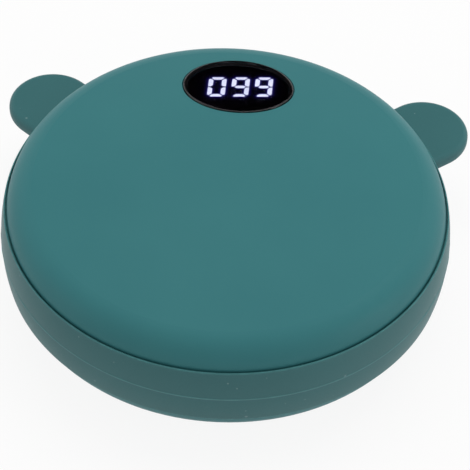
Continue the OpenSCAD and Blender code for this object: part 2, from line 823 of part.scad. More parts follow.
module battery_leads() {
    from = [cell_back + protection_t / 2, protection_h / 2];
    to = [board_front + lead_pad_y, board_top];
    rise = protection_h / 2;
    color([0.75, 0.1, 0.1]) at_mid() for (i = [0, 1])
        lead(protection_x + battery_lead_side + i * battery_lead_pitch,
            [from, from + [0, rise], to + [0, 2 * rise], to]);
}

// Wires from the two heater films to the main board.
module heater_leads() {
    to = [board_front + lead_pad_y, board_top];
    under = [to.x, board_base];
    color([0.85, 0.85, 0.85]) at_mid() {
        for (x = [lead_out, lead_out - lead_pitch]) {
            film = [board_front - lead_d, film_z(x, board_front - lead_d)];
            rise = [0, film.y / 2];
            lead(x, [film, film - rise, to + rise, to]);
        }
        for (x = [-lead_out, lead_pitch - lead_out]) {
            film = [under.x + lead_d, -film_z(x, under.x + lead_d)];
            rise = [0, -film.y / 4];
            lead(x, [film, film + rise, under - rise, under]);
        }
    }
}

// A dished disc, part of a sphere centred like the dome.
module dished_disc(outer, thickness, reach) {
    rotate_extrude() intersection() {
        difference() {
            translate([0, crown_c]) circle(r = outer);
            translate([0, crown_c]) circle(r = outer - thickness);
        }
        square([reach, crown_h]);
    }
}

module display_notch(grow) {
    translate([-notch_w / 2 - grow, notch_y - grow, 0]) cube([notch_w + 2 * grow, body_r, crown_h]);
}

module upper_heat_plate() {
    color(foil_colour) at_mid() difference() {
        dished_disc(plate_crown, plate_t, plate_r);
        display_notch(0);
    }
}

// Clears the bosses that take the inner frame's screws.
module boss_holes() {
    for (a = frame_screw_angles) rotate([0, 0, a]) translate([frame_screw_reach, 0, 0])
        cylinder(r = frame_boss_r + fit_gap, h = crown_h);
}

module lower_heat_plate() {
    color(foil_colour) at_mid() mirrored_down() difference() {
        dished_disc(plate_crown, plate_t, plate_r);
        boss_holes();
    }
}

module upper_heater_film() {
    color(film_colour) at_mid() difference() {
        dished_disc(film_crown, film_t, film_r);
        display_notch(notch_film);
    }
}

module lower_heater_film() {
    color(film_colour) at_mid() mirrored_down() difference() {
        dished_disc(film_crown, film_t, film_r);
        boss_holes();
    }
}

module temperature_sensors() {
    color([0.2, 0.2, 0.2]) at_mid() for (flip = [0, 1]) mirror([0, 0, flip])
        translate([0, 0, crown_c]) rotate([0, asin(sensor_reach / crown_r), 0])
            translate([-sensor_w / 2, -sensor_l / 2, film_crown - film_t - glue_gap - sensor_t])
                cube([sensor_w, sensor_l, sensor_t]);
}

// An insulating pad that fills the room between a cell and a heater film.
module foam_pad() {
    intersection() {
        translate([0, -cell_y, stack_h / 2 + glue_gap]) cylinder(r = foam_r, h = crown_h);
        translate([0, 0, crown_c]) sphere(r = film_crown - film_t - glue_gap);
    }
}

module upper_foam() {
    color([0.3, 0.3, 0.32]) at_mid() foam_pad();
}

module lower_foam() {
    color([0.3, 0.3, 0.32]) at_mid() mirrored_down() foam_pad();
}

upper_shell();
lower_shell();
silicone_band();
display_window();
window_tape();
display_reflector();
lit_segments();
unlit_segments();
segment_leds();
display_board();
display_screws();
display_ribbon();
inner_frame();
frame_screws();
main_board();
board_screws();
usb_a_shell();
usb_a_tongue();
usb_c_shell();
usb_c_tongue();
power_button();
switch_body();
switch_stem();
control_chip();
boost_inductor();
storage_capacitors();
lower_cell();
upper_cell();
cell_tape();
protection_board();
battery_leads();
upper_heat_plate();
lower_heat_plate();
upper_heater_film();
lower_heater_film();
temperature_sensors();
heater_leads();
upper_foam();
lower_foam();
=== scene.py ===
# Looks for the rechargeable hand warmer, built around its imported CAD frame.
# Sizes in the dictionaries are in millimetres and degrees, colours are sRGB from 0 to 255;
# the values of node sockets and of the studio are in metres.

import math
import random

import bmesh
import bpy
import numpy as np
from mathutils import Matrix, Vector, noise


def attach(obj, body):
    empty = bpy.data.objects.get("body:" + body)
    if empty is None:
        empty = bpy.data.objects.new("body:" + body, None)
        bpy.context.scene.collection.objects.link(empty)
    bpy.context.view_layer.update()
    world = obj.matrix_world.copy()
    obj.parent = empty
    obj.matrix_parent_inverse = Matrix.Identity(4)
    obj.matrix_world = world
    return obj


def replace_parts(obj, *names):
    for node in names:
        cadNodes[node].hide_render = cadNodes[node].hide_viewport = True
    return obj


mm = 0.001
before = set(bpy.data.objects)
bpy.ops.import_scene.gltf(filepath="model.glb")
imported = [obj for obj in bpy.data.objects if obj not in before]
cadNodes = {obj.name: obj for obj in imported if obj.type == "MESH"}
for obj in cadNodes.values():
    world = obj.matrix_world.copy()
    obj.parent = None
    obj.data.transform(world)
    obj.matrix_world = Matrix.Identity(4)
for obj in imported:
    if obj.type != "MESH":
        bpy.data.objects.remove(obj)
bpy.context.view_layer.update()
print("frame loaded with", len(cadNodes), "nodes")

# The pebble's own sizes, shared by the pieces that sit on it
pebble = {
    "radius": 47.5, "midHeight": 16.0, "crownHeight": 16.4, "crownRadius": 237.5,
    "mouldRise": 0.12, "bulgeRadius": 33.98,
}
crownCentre = pebble["crownHeight"] - pebble["crownRadius"]
bulgeCentre = pebble["radius"] - pebble["mouldRise"] - pebble["bulgeRadius"]


# Short helpers for building node trees
def linearOf(colour):
    channels = [c / 255 for c in colour]
    return [c / 12.92 if c <= 0.04045 else ((c + 0.055) / 1.055) ** 2.4 for c in channels] + [1]


def addNode(tree, kind, values=None, **settings):
    node = tree.nodes.new(kind)
    for key, value in settings.items():
        setattr(node, key, value)
    for key, value in (values or {}).items():
        node.inputs[key].default_value = value
    return node


# Each row names a node and its output, then a node and its input
def joinAll(tree, *rows):
    for source, output, target, entry in rows:
        tree.links.new(source.outputs[output], target.inputs[entry])


def newMaterial(name, values):
    material = bpy.data.materials.new(name)
    material.use_nodes = True
    shader = material.node_tree.nodes["Principled BSDF"]
    for key, value in values.items():
        shader.inputs[key].default_value = value
    return material, material.node_tree, shader


# A shader group whose sockets follow its values: a tuple makes a colour, a number a plain value
def newGroup(name, inputs, outputs):
    group = bpy.data.node_groups.new(name, "ShaderNodeTree")
    for label, value in inputs.items():
        kind = "NodeSocketColor" if isinstance(value, tuple) else "NodeSocketFloat"
        group.interface.new_socket(name=label, in_out="INPUT", socket_type=kind).default_value = value
    for label in outputs:
        kind = "NodeSocketColor" if label == "Color" else "NodeSocketFloat"
        group.interface.new_socket(name=label, in_out="OUTPUT", socket_type=kind)
    return group, group.nodes.new("NodeGroupInput"), group.nodes.new("NodeGroupOutput")


# Ends a group: its mask goes out, and the second colour laid over the first by that mask
def endGroup(group, start, end, mask, output, under, over):
    shade = addNode(group, "ShaderNodeMix", data_type="RGBA")
    joinAll(group, (mask, output, shade, "Factor"), (start, under, shade, "A"), (start, over, shade, "B"),
            (shade, "Result", end, "Color"), (mask, output, end, "Mask"))
    return group


def placeGroup(tree, group, values):
    return addNode(tree, "ShaderNodeGroup", values, node_tree=group)


midGrey = (0.5, 0.5, 0.5, 1)
paleGrey = (0.7, 0.7, 0.7, 1)


# Slow drift of a colour between two shades, as in any moulded or coated batch
def makeToneDrift():
    group, start, end = newGroup("Tone Drift", {
        "Color A": midGrey, "Color B": midGrey,
        "Patch Scale": 60.0, "Fleck Scale": 2500.0, "Fleck Share": 0.3}, ("Color", "Mask"))
    place = addNode(group, "ShaderNodeTexCoord")
    patches = addNode(group, "ShaderNodeTexNoise", {"Detail": 3.0, "Roughness": 0.55})
    flecks = addNode(group, "ShaderNodeTexNoise", {"Detail": 2.0, "Roughness": 0.6})
    blend = addNode(group, "ShaderNodeMix", data_type="FLOAT")
    spread = addNode(group, "ShaderNodeMapRange", {"From Min": 0.3, "From Max": 0.7})
    joinAll(group,
            (place, "Object", patches, "Vector"), (place, "Object", flecks, "Vector"),
            (start, "Patch Scale", patches, "Scale"), (start, "Fleck Scale", flecks, "Scale"),
            (start, "Fleck Share", blend, "Factor"), (patches, "Fac", blend, "A"),
            (flecks, "Fac", blend, "B"), (blend, "Result", spread, "Value"))
    return endGroup(group, start, end, spread, "Result", "Color A", "Color B")


# Fine grain of a moulded, coated or rolled surface; Stretch draws it out along X
def makeGrain():
    group, start, end = newGroup("Grain", {
        "Scale": 3000.0, "Stretch": 1.0, "Pits": 0.3, "Rough Low": 0.4, "Rough High": 0.6},
        ("Height", "Roughness"))
    place = addNode(group, "ShaderNodeTexCoord")
    squeeze = addNode(group, "ShaderNodeCombineXYZ", {"Y": 1.0, "Z": 1.0})
    drawn = addNode(group, "ShaderNodeVectorMath", operation="MULTIPLY")
    fine = addNode(group, "ShaderNodeTexNoise", {"Detail": 4.0, "Roughness": 0.65})
    cells = addNode(group, "ShaderNodeTexVoronoi", feature="SMOOTH_F1")
    height = addNode(group, "ShaderNodeMix", data_type="FLOAT")
    rough = addNode(group, "ShaderNodeMapRange", {"From Min": 0.3, "From Max": 0.7})
    joinAll(group,
            (start, "Stretch", squeeze, "X"), (place, "Object", drawn, 0), (squeeze, "Vector", drawn, 1),
            (drawn, "Vector", fine, "Vector"), (start, "Scale", fine, "Scale"),
            (drawn, "Vector", cells, "Vector"), (start, "Scale", cells, "Scale"),
            (start, "Pits", height, "Factor"), (fine, "Fac", height, "A"), (cells, "Distance", height, "B"),
            (fine, "Fac", rough, "Value"), (start, "Rough Low", rough, "To Min"),
            (start, "Rough High", rough, "To Max"),
            (height, "Result", end, "Height"), (rough, "Result", end, "Roughness"))
    return group


# Sparse pale specks of settled dust, laid over a colour
def makeDust():
    group, start, end = newGroup("Dust", {
        "Color": midGrey, "Dust Color": paleGrey, "Scale": 300.0, "Share": 0.1, "Speck": 0.12, "Cover": 0.5},
        ("Color", "Mask"))
    place = addNode(group, "ShaderNodeTexCoord")
    cells = addNode(group, "ShaderNodeTexVoronoi")
    pick = addNode(group, "ShaderNodeSeparateColor")
    chosen, small = [addNode(group, "ShaderNodeMath", operation="LESS_THAN") for _ in range(2)]
    size, both, covered = [addNode(group, "ShaderNodeMath", operation="MULTIPLY") for _ in range(3)]
    joinAll(group,
            (place, "Object", cells, "Vector"), (start, "Scale", cells, "Scale"),
            (cells, "Color", pick, "Color"), (pick, "Red", chosen, 0), (start, "Share", chosen, 1),
            (pick, "Green", size, 0), (start, "Speck", size, 1),
            (cells, "Distance", small, 0), (size, "Value", small, 1),
            (chosen, "Value", both, 0), (small, "Value", both, 1),
            (both, "Value", covered, 0), (start, "Cover", covered, 1))
    return endGroup(group, start, end, covered, "Value", "Color", "Dust Color")


# Bare or rubbed corners, found from the turn of the surface within a small radius; on the silicone band this
# lighter edge is a painted highlight, not wear
def makeEdgeWearAndHighlight():
    group, start, end = newGroup("Edge Wear And Highlight", {
        "Color": midGrey, "Wear And Highlight Color": paleGrey, "Radius": 0.0003, "Amount": 0.5}, ("Color", "Mask"))
    rounded = addNode(group, "ShaderNodeBevel", samples=4)
    facing = addNode(group, "ShaderNodeNewGeometry")
    same = addNode(group, "ShaderNodeVectorMath", operation="DOT_PRODUCT")
    edge = addNode(group, "ShaderNodeMapRange", {"From Min": 0.98, "From Max": 0.8})
    place = addNode(group, "ShaderNodeTexCoord")
    patchy = addNode(group, "ShaderNodeTexNoise", {"Scale": 900.0, "Detail": 3.0})
    broken, share = [addNode(group, "ShaderNodeMath", operation="MULTIPLY") for _ in range(2)]
    joinAll(group,
            (start, "Radius", rounded, "Radius"), (rounded, "Normal", same, 0), (facing, "Normal", same, 1),
            (same, "Value", edge, "Value"), (place, "Object", patchy, "Vector"),
            (edge, "Result", broken, 0), (patchy, "Fac", broken, 1),
            (broken, "Value", share, 0), (start, "Amount", share, 1))
    return endGroup(group, start, end, share, "Value", "Color", "Wear And Highlight Color")


toneDrift = makeToneDrift()
grain = makeGrain()
dust = makeDust()
edgeWearAndHighlight = makeEdgeWearAndHighlight()
print("shader groups made")


def placeTone(tree, shades, values):
    first, second = [linearOf(shade) for shade in shades]
    return placeGroup(tree, toneDrift, {"Color A": first, "Color B": second, **values})


# Two drifting shades as one of a shader's colours
def addTone(tree, shader, shades, values, entry="Base Color"):
    joinAll(tree, (placeTone(tree, shades, values), "Color", shader, entry))


# Grain in a shader's roughness and, where a depth in millimetres is given, in its bump
def addGrain(tree, shader, values, bump=0, depth=0):
    fine = placeGroup(tree, grain, values)
    joinAll(tree, (fine, "Roughness", shader, "Roughness"))
    if depth:
        raised = addNode(tree, "ShaderNodeBump", {"Strength": bump, "Distance": depth * mm})
        joinAll(tree, (fine, "Height", raised, "Height"), (raised, "Normal", shader, "Normal"))


# One finish: two shades that drift, a grain, and where asked dust and lighter edges: wear on most finishes, a
# painted highlight on the silicone band
def makeFinish(name, look):
    material, tree, shader = newMaterial(name, look.get("shader", {}))
    top = placeTone(tree, look["shades"], {
        "Patch Scale": look.get("patchScale", 60), "Fleck Scale": look.get("fleckScale", 2500),
        "Fleck Share": look.get("fleckShare", 0.3)})
    for group, layer, colour in ((dust, "dust", "Dust Color"), (edgeWearAndHighlight, "wearAndHighlight", "Wear And Highlight Color")):
        if layer in look:
            laid = placeGroup(tree, group, {**look[layer], colour: linearOf(look[layer + "Shade"])})
            joinAll(tree, (top, "Color", laid, "Color"))
            top = laid
    joinAll(tree, (top, "Color", shader, "Base Color"))
    addGrain(tree, shader, look["grain"], look["bump"], look["depth"])
    return material


finishes = {
    "softTouchCoat": {
        "shades": [(60, 125, 129), (56, 120, 125)],
        "patchScale": 35, "fleckScale": 5200, "fleckShare": 0.35,
        "grain": {"Scale": 5200, "Pits": 0.35, "Rough Low": 0.4, "Rough High": 0.5},
        "bump": 0.25, "depth": 0.02,
        "dust": {"Scale": 260, "Share": 0.05, "Speck": 0.05, "Cover": 0.2}, "dustShade": (120, 165, 167),
        "shader": {"Specular IOR Level": 0.16},
    },
    "siliconeRubber": {
        "shades": [(54, 108, 111), (50, 102, 105)],
        "patchScale": 50, "fleckScale": 3600, "fleckShare": 0.45,
        "grain": {"Scale": 4200, "Pits": 0.4, "Rough Low": 0.48, "Rough High": 0.6},
        "bump": 0.35, "depth": 0.025,
        "dust": {"Scale": 520, "Share": 0.25, "Speck": 0.16, "Cover": 0.35}, "dustShade": (150, 175, 175),
        # The silicone's lighter edge shade is a painted highlight along the band's lips, ear rims and
        # openings
        "wearAndHighlight": {"Radius": 0.0008, "Amount": 1.4}, "wearAndHighlightShade": (84, 156, 157),
        "shader": {"Specular IOR Level": 0.36, "Sheen Weight": 0.16, "Sheen Roughness": 0.25},
    },
    "buttonPlastic": {
        "shades": [(66, 123, 127), (60, 116, 120)],
        "patchScale": 80, "fleckScale": 5000, "fleckShare": 0.4,
        "grain": {"Scale": 5200, "Pits": 0.3, "Rough Low": 0.34, "Rough High": 0.46},
        "bump": 0.2, "depth": 0.015,
        "wearAndHighlight": {"Radius": 0.0004, "Amount": 0.35}, "wearAndHighlightShade": (120, 165, 167),
    },
    "tapeFoam": {
        "shades": [(24, 24, 26), (34, 34, 36)],
        "fleckScale": 4000, "fleckShare": 0.6,
        "grain": {"Scale": 5000, "Pits": 0.6, "Rough Low": 0.7, "Rough High": 0.9},
        "bump": 0.4, "depth": 0.03,
    },
    "reflectorWhite": {
        "shades": [(222, 222, 216), (212, 212, 206)],
        "grain": {"Scale": 3000, "Pits": 0.2, "Rough Low": 0.45, "Rough High": 0.6},
        "bump": 0.15, "depth": 0.01,
    },
    "ledPackage": {
        "shades": [(235, 222, 130), (214, 196, 96)],
        "patchScale": 900, "fleckScale": 6000,
        "grain": {"Scale": 6000, "Pits": 0.3, "Rough Low": 0.3, "Rough High": 0.5},
        "bump": 0.2, "depth": 0.01,
    },
    "screwSteel": {
        "shades": [(178, 180, 184), (150, 152, 156)],
        "patchScale": 400, "fleckScale": 5000,
        "grain": {"Scale": 2600, "Stretch": 0.2, "Pits": 0.2, "Rough Low": 0.22, "Rough High": 0.42},
        "bump": 0.25, "depth": 0.01,
        "wearAndHighlight": {"Radius": 0.0002, "Amount": 0.6}, "wearAndHighlightShade": (225, 226, 228),
        "shader": {"Metallic": 1.0},
    },
    "portShellNickel": {
        "shades": [(196, 197, 200), (172, 174, 178)],
        "patchScale": 300, "fleckScale": 6000, "fleckShare": 0.5,
        "grain": {"Scale": 2200, "Stretch": 0.15, "Pits": 0.15, "Rough Low": 0.16, "Rough High": 0.34},
        "bump": 0.2, "depth": 0.008,
        "wearAndHighlight": {"Radius": 0.0002, "Amount": 0.7}, "wearAndHighlightShade": (238, 238, 240),
        "shader": {"Metallic": 1.0},
    },
    "contactGold": {
        "shades": [(226, 188, 110), (206, 164, 84)],
        "patchScale": 900, "fleckScale": 7000,
        "grain": {"Scale": 5000, "Stretch": 0.3, "Pits": 0.1, "Rough Low": 0.18, "Rough High": 0.32},
        "bump": 0.15, "depth": 0.006,
        "shader": {"Metallic": 1.0},
    },
    "framePlastic": {
        "shades": [(222, 222, 218), (208, 208, 202)],
        "grain": {"Scale": 2600, "Pits": 0.4, "Rough Low": 0.5, "Rough High": 0.65},
        "bump": 0.3, "depth": 0.02,
    },
    "tongueWhite": {
        "shades": [(232, 232, 236), (218, 218, 224)],
        "fleckScale": 5200, "fleckShare": 0.6,
        "grain": {"Scale": 5200, "Pits": 0.3, "Rough Low": 0.35, "Rough High": 0.5},
        "bump": 0.2, "depth": 0.01,
    },
    "tongueBlack": {
        "shades": [(30, 30, 32), (42, 42, 44)],
        "fleckScale": 5200, "fleckShare": 0.6,
        "grain": {"Scale": 5200, "Pits": 0.3, "Rough Low": 0.4, "Rough High": 0.55},
        "bump": 0.2, "depth": 0.01,
    },
    "epoxyBlack": {
        "shades": [(32, 32, 34), (46, 46, 48)],
        "fleckScale": 4200, "fleckShare": 0.7,
        "grain": {"Scale": 4200, "Pits": 0.6, "Rough Low": 0.55, "Rough High": 0.75},
        "bump": 0.4, "depth": 0.02,
        "wearAndHighlight": {"Radius": 0.00025, "Amount": 0.4}, "wearAndHighlightShade": (90, 90, 92),
    },
    "ferrite": {
        "shades": [(62, 62, 66), (78, 77, 78)],
        "fleckScale": 3200, "fleckShare": 0.8,
        "grain": {"Scale": 3200, "Pits": 0.7, "Rough Low": 0.6, "Rough High": 0.8},
        "bump": 0.5, "depth": 0.04,
        "wearAndHighlight": {"Radius": 0.0003, "Amount": 0.5}, "wearAndHighlightShade": (120, 118, 116),
    },
    "pouchFoil": {
        "shades": [(186, 188, 190), (160, 163, 167)],
        "patchScale": 140, "fleckScale": 900, "fleckShare": 0.4,
        "grain": {"Scale": 260, "Pits": 0.1, "Rough Low": 0.28, "Rough High": 0.48},
        "bump": 0.5, "depth": 0.15,
        "shader": {"Metallic": 0.85},
    },
    "adhesiveTape": {
        "shades": [(228, 210, 96), (210, 190, 76)],
        "patchScale": 120,
        "grain": {"Scale": 1500, "Pits": 0.5, "Rough Low": 0.3, "Rough High": 0.55},
        "bump": 0.3, "depth": 0.03,
    },
    "wireInsulation": {
        "shades": [(196, 44, 40), (176, 34, 32)],
        "grain": {"Scale": 2600, "Pits": 0.3, "Rough Low": 0.35, "Rough High": 0.5},
        "bump": 0.25, "depth": 0.02,
    },
    "leadInsulation": {
        "shades": [(222, 220, 214), (204, 202, 196)],
        "grain": {"Scale": 2600, "Pits": 0.3, "Rough Low": 0.4, "Rough High": 0.55},
        "bump": 0.25, "depth": 0.02,
    },
    "spreaderAluminium": {
        "shades": [(200, 202, 205), (182, 184, 188)],
        "patchScale": 90, "fleckScale": 4000,
        "grain": {"Scale": 1800, "Stretch": 0.06, "Pits": 0.1, "Rough Low": 0.25, "Rough High": 0.45},
        "bump": 0.3, "depth": 0.012,
        "wearAndHighlight": {"Radius": 0.0003, "Amount": 0.4}, "wearAndHighlightShade": (232, 233, 235),
        "shader": {"Metallic": 1.0},
    },
    "foamPad": {
        "shades": [(74, 74, 78), (92, 92, 96)],
        "patchScale": 200, "fleckScale": 1600, "fleckShare": 0.7,
        "grain": {"Scale": 1500, "Pits": 0.9, "Rough Low": 0.8, "Rough High": 0.95},
        "bump": 0.8, "depth": 0.25,
    },
}
materials = {name: makeFinish(name, look) for name, look in finishes.items()}


# Lays a shade over a finish where a mask says so
def layShade(material, mask, output, shade):
    tree = material.node_tree
    shader = tree.nodes["Principled BSDF"]
    under = shader.inputs["Base Color"].links[0].from_node
    over = addNode(tree, "ShaderNodeMix", {"B": linearOf(shade)}, data_type="RGBA")
    joinAll(tree, (mask, output, over, "Factor"), (under, "Color", over, "A"),
            (over, "Result", shader, "Base Color"))


# Thin lines printed over a finish, as copper tracks under a solder mask or on a heater film
def addTracks(material, tracks):
    tree = material.node_tree
    place = addNode(tree, "ShaderNodeTexCoord")
    wave = addNode(tree, "ShaderNodeTexWave", {
        "Scale": tracks["scale"], "Distortion": tracks["bend"], "Detail": 1.0, "Detail Scale": 0.6},
        wave_type=tracks["form"], bands_direction=tracks["along"])
    line = addNode(tree, "ShaderNodeMapRange", {
        "From Min": tracks["edge"], "From Max": tracks["edge"] + tracks["blur"]})
    joinAll(tree, (place, "Object", wave, "Vector"), (wave, "Fac", line, "Value"))
    layShade(material, line, "Result", tracks["shade"])


printedFinishes = {
    "circuitBoard": {
        "shades": [(28, 96, 58), (22, 82, 50)],
        "patchScale": 120, "fleckScale": 3000, "fleckShare": 0.5,
        "grain": {"Scale": 2400, "Pits": 0.3, "Rough Low": 0.26, "Rough High": 0.42},
        "bump": 0.25, "depth": 0.02,
        "shader": {"Coat Weight": 0.3, "Coat Roughness": 0.15},
        "tracks": {"scale": 150, "bend": 6.0, "form": "BANDS", "along": "X", "edge": 0.8, "blur": 0.08,
                   "shade": (60, 140, 84)},
    },
    "heaterFilm": {
        "shades": [(206, 132, 46), (186, 112, 34)],
        "patchScale": 90, "fleckScale": 2000,
        "grain": {"Scale": 1800, "Pits": 0.2, "Rough Low": 0.24, "Rough High": 0.4},
        "bump": 0.25, "depth": 0.03,
        "shader": {"Coat Weight": 0.4, "Coat Roughness": 0.12},
        "tracks": {"scale": 130, "bend": 0.0, "form": "RINGS", "along": "Z", "edge": 0.55, "blur": 0.08,
                   "shade": (150, 84, 40)},
    },
}
for name, look in printedFinishes.items():
    materials[name] = makeFinish(name, look)
    addTracks(materials[name], look["tracks"])
print("finishes made:", len(materials))

nodesOfFinish = {
    "softTouchCoat": "upper_shell lower_shell",
    "tapeFoam": "window_tape",
    "reflectorWhite": "display_reflector",
    "ledPackage": "segment_leds",
    "circuitBoard": "display_board main_board protection_board",
    "screwSteel": "display_screws frame_screws board_screws",
    "heaterFilm": "display_ribbon upper_heater_film lower_heater_film",
    "framePlastic": "inner_frame switch_stem",
    "portShellNickel": "usb_a_shell usb_c_shell",
    "tongueWhite": "usb_a_tongue",
    "tongueBlack": "usb_c_tongue",
    "epoxyBlack": "switch_body control_chip temperature_sensors",
    "ferrite": "boost_inductor",
    "spreaderAluminium": "storage_capacitors upper_heat_plate lower_heat_plate",
    "pouchFoil": "lower_cell upper_cell",
    "adhesiveTape": "cell_tape",
    "wireInsulation": "battery_leads",
    "leadInsulation": "heater_leads",
    "foamPad": "upper_foam lower_foam",
}
for finishName, nodeNames in nodesOfFinish.items():
    for nodeName in nodeNames.split():
        cadNodes[nodeName].material_slots[0].material = materials[finishName]
print("CAD nodes finished, kinds of finish:", len(nodesOfFinish))


# A piece from points in millimetres
def meshPiece(name, points, faces, material):
    mesh = bpy.data.meshes.new(name)
    mesh.from_pydata([Vector(p) * mm for p in points], [], faces)
    mesh.materials.append(material)
    piece = bpy.data.objects.new(name, mesh)
    bpy.context.scene.collection.objects.link(piece)
    return piece


mergeWithin = 0.002  # points closer than this become one
thinnest = 0.0005  # slivers thinner than this go


# Merges shared points, turns all faces outwards and shades smooth up to an angle; fill also closes holes
def cleanUp(piece, sharpAngle=32, fill=False):
    work = bmesh.new()
    work.from_mesh(piece.data)
    bmesh.ops.remove_doubles(work, verts=work.verts, dist=mergeWithin * mm)
    if fill:
        bmesh.ops.holes_fill(work, edges=[e for e in work.edges if e.is_boundary])
        bmesh.ops.dissolve_degenerate(work, edges=work.edges, dist=thinnest * mm)
        bmesh.ops.remove_doubles(work, verts=work.verts, dist=mergeWithin * mm)
    bmesh.ops.recalc_face_normals(work, faces=work.faces)
    work.to_mesh(piece.data)
    work.free()
    piece.data.polygons.foreach_set("use_smooth", [True] * len(piece.data.polygons))
    piece.data.set_sharp_from_angle(angle=math.radians(sharpAngle))
    return piece


# Joins a tool mesh to a piece, or cuts it away
def carve(piece, tool, operation):
    step = piece.modifiers.new(operation.title(), "BOOLEAN")
    step.operation = operation
    step.solver = "MANIFOLD"
    step.object = tool
    solved = piece.evaluated_get(bpy.context.evaluated_depsgraph_get())
    mesh = bpy.data.meshes.new_from_object(solved)
    piece.modifiers.clear()
    piece.data = mesh
    bpy.data.objects.remove(tool)


# Quads between neighbouring rings of equal length; closed also ties the last ring to the first
def ringFaces(ringCount, ringSize, closed=False):
    faces = []
    for row in range(ringCount if closed else ringCount - 1):
        low, high = row * ringSize, (row + 1) % ringCount * ringSize
        for i in range(ringSize):
            ahead = (i + 1) % ringSize
            faces.append((low + i, low + ahead, high + ahead, high + i))
    return faces


# The first and the last ring, each as one face
def capFaces(ringCount, ringSize):
    return [tuple(range(ringSize)), tuple(range((ringCount - 1) * ringSize, ringCount * ringSize))]


def quarterTurn(steps):
    return [math.pi / 2 * step / steps for step in range(steps + 1)]


# A closed outline with each corner (x, y, radius) rounded
def roundedOutline(corners, steps=6):
    points = []
    for i, (x, y, radius) in enumerate(corners):
        corner = Vector((x, y))
        if radius == 0:
            points.append(corner)
            continue
        before = (Vector(corners[i - 1][:2]) - corner).normalized()
        after = (Vector(corners[(i + 1) % len(corners)][:2]) - corner).normalized()
        half = before.angle(after) / 2
        centre = corner + (before + after).normalized() * radius / math.sin(half)
        first = corner + before * radius / math.tan(half) - centre
        last = corner + after * radius / math.tan(half) - centre
        turn = first.angle_signed(last)
        for step in range(steps + 1):
            points.append(centre + Matrix.Rotation(-turn * step / steps, 2) @ first)
    return points


nearlyRound = 0.999  # share of a full round end, so that a sliver of the flat stays


def boxOutline(x, width, height, corner, steps=6):
    w, h = width / 2, height / 2
    corners = [(x + w, -h, corner), (x + w, h, corner), (x - w, h, corner), (x - w, -h, corner)]
    return roundedOutline(corners, steps)


# The silicone band and the two ears in one piece with it
band = {
    "height": 14.2, "insideRadius": 44.65, "seatHeight": 6.25, "lipInside": 46.35, "lipRound": 0.12,
    "steps": 480, "profileSteps": 30, "lipSteps": 4, "lineHeights": (0.04, 0.08, 0.12, 0.17, 0.24),
    "mouldFrom": 47.05, "mouldWidth": 0.11, "mouldLow": 0.45, "ripple": 0.3, "rippleScale": 40,
    "blobCount": 60, "blobSpread": 0.9, "blobRise": (0.2, 0.7), "seed": 5,
    # The paler shade along the mould line is a painted highlight on its ridge; the ridge and its blobs are
    # real shape
    "mouldHighlightReach": 0.5, "mouldHighlightLimit": 1.05, "mouldHighlightShade": (96, 146, 148), "sharpAngle": 40,
}
ear = {
    "angle": 51.5, "radius": 9.5, "centre": 52.7, "thickness": 3.4, "edge": 1.4, "rootBlend": 0.8,
    "buried": 1.2, "rimSteps": 8, "arcSteps": 48, "flatShares": (0, 0.4, 0.75), "armShares": (0.4, 1.0),
    "rootShares": (0.0, 0.06, 0.15, 0.3, 0.5, 0.75, 1.0), "rootStart": 0.02,
}
portWindows = {
    "large": {"x": -9.5, "width": 16.4, "height": 8.3, "corner": 1.2},
    "small": {"x": 8.0, "width": 12.14, "height": 6.36, "corner": 1.2},
    "soften": 0.45, "softSteps": 6, "softTurn": 6.5, "flare": 1.6, "cutFrom": -4.0, "cutTo": 1.5,
}
keyHole = {"angle": -27.048, "width": 8.1, "height": 4.1, "soften": 0.35, "cornerSteps": 16}


def bandRadius(z):
    return bulgeCentre + math.sqrt(pebble["bulgeRadius"] ** 2 - z ** 2)


# How high the mould line stands at an angle, with small blobs of flash here and there
def mouldHeight(angle, blobs):
    scale = band["rippleScale"]
    ripple = 0.5 + 0.5 * noise.noise(Vector((math.cos(angle) * scale, math.sin(angle) * scale, 0)))
    height = band["mouldLow"] + band["ripple"] * ripple
    for place, strength in blobs:
        away = math.degrees(abs(math.remainder(angle - place, math.tau)))
        height += strength * math.exp(-(away / band["blobSpread"]) ** 2)
    return min(height, 1) * pebble["mouldRise"]


def makeBandRing():
    top, seat, lip, soft = band["height"] / 2, band["seatHeight"], band["lipInside"], band["lipRound"]
    outer = [z * top for z in np.linspace(-1, 1, band["profileSteps"] + 1)][1:-1]
    outer = sorted(outer + [s * z for s in (-1, 1) for z in band["lineHeights"]])
    corners = [(bandRadius(top), -top, soft)] + [(bandRadius(z), z, 0) for z in outer]
    corners += [(bandRadius(top), top, soft), (lip, top, soft), (lip, seat, 0)]
    corners += [(band["insideRadius"], seat, 0), (band["insideRadius"], -seat, 0)]
    corners += [(lip, -seat, 0), (lip, -top, soft)]
    profile = roundedOutline(corners, band["lipSteps"])
    seeded = random.Random(band["seed"])
    blobs = [(seeded.uniform(0, math.tau), seeded.uniform(*band["blobRise"]))
             for _ in range(band["blobCount"])]
    points = []
    for step in range(band["steps"]):
        angle = math.tau * step / band["steps"]
        rise = mouldHeight(angle, blobs)
        for r, z in profile:
            r += rise * math.exp(-(z / band["mouldWidth"]) ** 2) if r > band["mouldFrom"] else 0
            points.append((r * math.cos(angle), r * math.sin(angle), pebble["midHeight"] + z))
    faces = ringFaces(band["steps"], len(profile), True)
    return cleanUp(meshPiece("gripBand", points, faces, materials["siliconeRubber"]))


# Distance from the middle to the band's outside, straight back from a place across and up
def bandFace(x, z):
    return math.sqrt(bandRadius(min(abs(z), band["height"] / 2)) ** 2 - x ** 2)


def turned(points, angle):
    spin = Matrix.Rotation(math.radians(angle), 3, "Z")
    lift = Vector((0, 0, pebble["midHeight"]))
    return [spin @ Vector(p) + lift for p in points]


